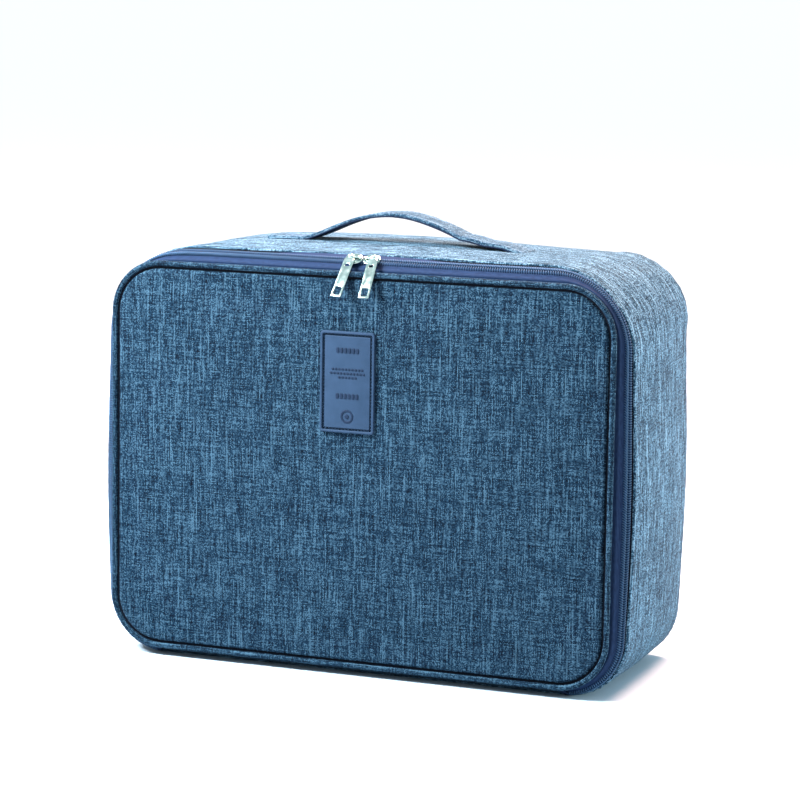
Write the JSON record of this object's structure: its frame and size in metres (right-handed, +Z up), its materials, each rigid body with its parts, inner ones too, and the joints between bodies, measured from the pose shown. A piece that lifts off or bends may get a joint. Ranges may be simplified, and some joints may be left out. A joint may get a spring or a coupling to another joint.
{
  "type": "shoe bag",
  "caption": "Box-shaped padded fabric shoe bag with a piped front lid, a two-way zipper round it, a rubber patch and a carry strap.",
  "frame": {"origin": "bottom centre of the bounding box, with the pulls hanging and the strap standing", "axes": "+Z up, -Y out of the lid, +X to the right seen from the front"},
  "size_m": [0.3882, 0.1714, 0.3171],
  "materials": {
    "heather_fabric": "heathered blue woven polyester, matt",
    "gusset_heather": "the same heathered weave, run round the gusset",
    "zipper_tape": "navy woven zipper tape",
    "zipper_coil": "navy nylon coil",
    "plated_metal": "bright plated zinc",
    "patch_rubber": "slate-blue moulded soft rubber, satin",
    "foam_sheet": "closed-cell foam sheet",
    "lining_cloth": "navy coated lining",
    "binding_tape": "navy binding tape",
    "pocket_mesh": "navy knitted mesh"
  },
  "bodies": {
    "shell": {"gusset_fabric": "gusset_heather", "base_fabric": "gusset_heather", "hinge_strip": "heather_fabric", "top_foam_board": "foam_sheet", "left_foam_board": "foam_sheet", "right_foam_board": "foam_sheet", "base_foam_board": "foam_sheet", "gusset_lining": "lining_cloth", "front_seam_binding": "binding_tape", "back_panel_fabric": "gusset_heather", "back_foam_board": "foam_sheet", "back_lining": "lining_cloth", "back_seam_binding": "binding_tape", "body_zipper_coil": "zipper_coil", "body_zipper_tape": "zipper_tape", "zipper_end_tab_left": "zipper_tape", "zipper_end_tab_right": "zipper_tape", "handle_end_left": "heather_fabric", "handle_end_right": "heather_fabric"},
    "lid": {"lid_front_fabric": "heather_fabric", "lid_foam_board": "foam_sheet", "lid_lining": "lining_cloth", "lid_piping": "heather_fabric", "lid_seam_binding": "binding_tape", "lid_mesh_pocket": "pocket_mesh", "pocket_edge_binding": "binding_tape", "lid_zipper_tape": "zipper_tape", "lid_zipper_coil": "zipper_coil", "label_patch": "patch_rubber"},
    "slider_left": {"slider_body_left": "plated_metal", "slider_bail_left": "plated_metal"},
    "slider_right": {"slider_body_right": "plated_metal", "slider_bail_right": "plated_metal"},
    "pull_left": {"pull_tab_left": "plated_metal"},
    "pull_right": {"pull_tab_right": "plated_metal"},
    "handle": {"handle_sleeve": "heather_fabric", "handle_webbing": "zipper_tape"}
  },
  "joints": [
    {"name": "lid_hinge", "type": "hinge", "parent": "shell", "child": "lid", "pos_m": [0, -0.07027, 0.0076], "axis": [1, 0, 0], "range_deg": [0, 87]},
    {"name": "slider_left_travel", "type": "slide", "parent": "lid", "child": "slider_left", "axis": [-1, 0, 0], "range_m": [0, 0.12]},
    {"name": "slider_right_travel", "type": "slide", "parent": "lid", "child": "slider_right", "axis": [1, 0, 0], "range_m": [0, 0.12]},
    {"name": "pull_left_swing", "type": "hinge", "parent": "slider_left", "child": "pull_left", "pos_m": [-0.00835, -0.06471, 0.29194], "axis": [-1, 0, 0], "range_deg": [0, 200]},
    {"name": "pull_right_swing", "type": "hinge", "parent": "slider_right", "child": "pull_right", "pos_m": [0.00835, -0.06471, 0.29194], "axis": [-1, 0, 0], "range_deg": [0, 200]},
    {"name": "handle_lean", "type": "hinge", "parent": "shell", "child": "handle", "pos_m": [0, 0.00773, 0.30189], "axis": [1, 0, 0], "range_deg": [-25, 25], "stiffness_Nm_per_rad": 0.05}
  ]
}
